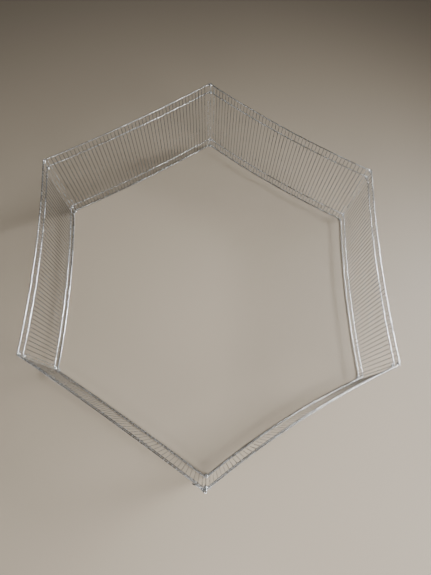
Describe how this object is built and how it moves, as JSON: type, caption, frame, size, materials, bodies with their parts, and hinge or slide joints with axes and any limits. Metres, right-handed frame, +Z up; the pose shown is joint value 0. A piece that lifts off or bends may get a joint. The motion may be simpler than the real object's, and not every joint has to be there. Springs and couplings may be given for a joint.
{
  "type": "folding wire pet playpen",
  "caption": "Hexagonal free-run pen for small pets: bowed wire panels hinged by eyes on upright corner rods, open above and below, closed by a lift-out rod.",
  "frame": {"origin": "middle of the ring of panels, on the floor", "axes": "+Z up; -Y from the middle towards the front corner, which has the lift-out rod; +X to the right as seen from the front"},
  "size_m": [0.8255, 0.9908, 0.2658],
  "materials": {
    "rail_wire": "bright galvanised, slightly dulled",
    "bar_wire": "galvanised, satin",
    "rod_wire": "galvanised, darker and worn by the eyes"
  },
  "bodies": {
    "back_left_panel": {"back_left_rail_bottom": "rail_wire", "back_left_rail_lower": "rail_wire", "back_left_rail_upper": "rail_wire", "back_left_rail_top": "rail_wire", "back_left_end_wires": "rail_wire", "back_left_bars": "bar_wire", "back_rod": "rod_wire", "left_back_rod": "rod_wire"},
    "back_right_panel": {"back_right_rail_bottom": "rail_wire", "back_right_rail_lower": "rail_wire", "back_right_rail_upper": "rail_wire", "back_right_rail_top": "rail_wire", "back_right_end_wires": "rail_wire", "back_right_bars": "bar_wire"},
    "right_panel": {"right_rail_bottom": "rail_wire", "right_rail_lower": "rail_wire", "right_rail_upper": "rail_wire", "right_rail_top": "rail_wire", "right_end_wires": "rail_wire", "right_bars": "bar_wire", "right_back_rod": "rod_wire", "right_front_rod": "rod_wire"},
    "front_right_panel": {"front_right_rail_bottom": "rail_wire", "front_right_rail_lower": "rail_wire", "front_right_rail_upper": "rail_wire", "front_right_rail_top": "rail_wire", "front_right_end_wires": "rail_wire", "front_right_bars": "bar_wire"},
    "left_panel": {"left_rail_bottom": "rail_wire", "left_rail_lower": "rail_wire", "left_rail_upper": "rail_wire", "left_rail_top": "rail_wire", "left_end_wires": "rail_wire", "left_bars": "bar_wire"},
    "front_left_panel": {"front_left_rail_bottom": "rail_wire", "front_left_rail_lower": "rail_wire", "front_left_rail_upper": "rail_wire", "front_left_rail_top": "rail_wire", "front_left_end_wires": "rail_wire", "front_left_bars": "bar_wire", "left_front_rod": "rod_wire"},
    "closing_rod": {"closing_rod": "rod_wire"}
  },
  "joints": [
    {"name": "back_fold", "type": "hinge", "parent": "back_left_panel", "child": "back_right_panel", "pos_m": [0, 0.49017, 0], "axis": [0, 0, -1], "range_deg": [-64, 104]},
    {"name": "right_back_fold", "type": "hinge", "parent": "back_right_panel", "child": "right_panel", "pos_m": [0.39934, 0.23112, 0], "axis": [0, 0, -1], "range_deg": [-52, 32]},
    {"name": "right_front_fold", "type": "hinge", "parent": "right_panel", "child": "front_right_panel", "pos_m": [0.40789, -0.2448, 0], "axis": [0, 0, -1], "range_deg": [-52, 32]},
    {"name": "left_back_fold", "type": "hinge", "parent": "back_left_panel", "child": "left_panel", "pos_m": [-0.40789, 0.2448, 0], "axis": [0, 0, 1], "range_deg": [-52, 32]},
    {"name": "left_front_fold", "type": "hinge", "parent": "left_panel", "child": "front_left_panel", "pos_m": [-0.39934, -0.23112, 0], "axis": [0, 0, 1], "range_deg": [-52, 32]},
    {"name": "closing_rod_lift", "type": "slide", "parent": "front_left_panel", "child": "closing_rod", "axis": [0, 0, 1], "range_m": [0, 0.265]}
  ],
  "couplings": [
    {"joint": "right_back_fold", "follows": "back_fold", "ratio": -0.5},
    {"joint": "right_front_fold", "follows": "back_fold", "ratio": -0.5},
    {"joint": "left_back_fold", "follows": "back_fold", "ratio": -0.5},
    {"joint": "left_front_fold", "follows": "back_fold", "ratio": -0.5}
  ]
}
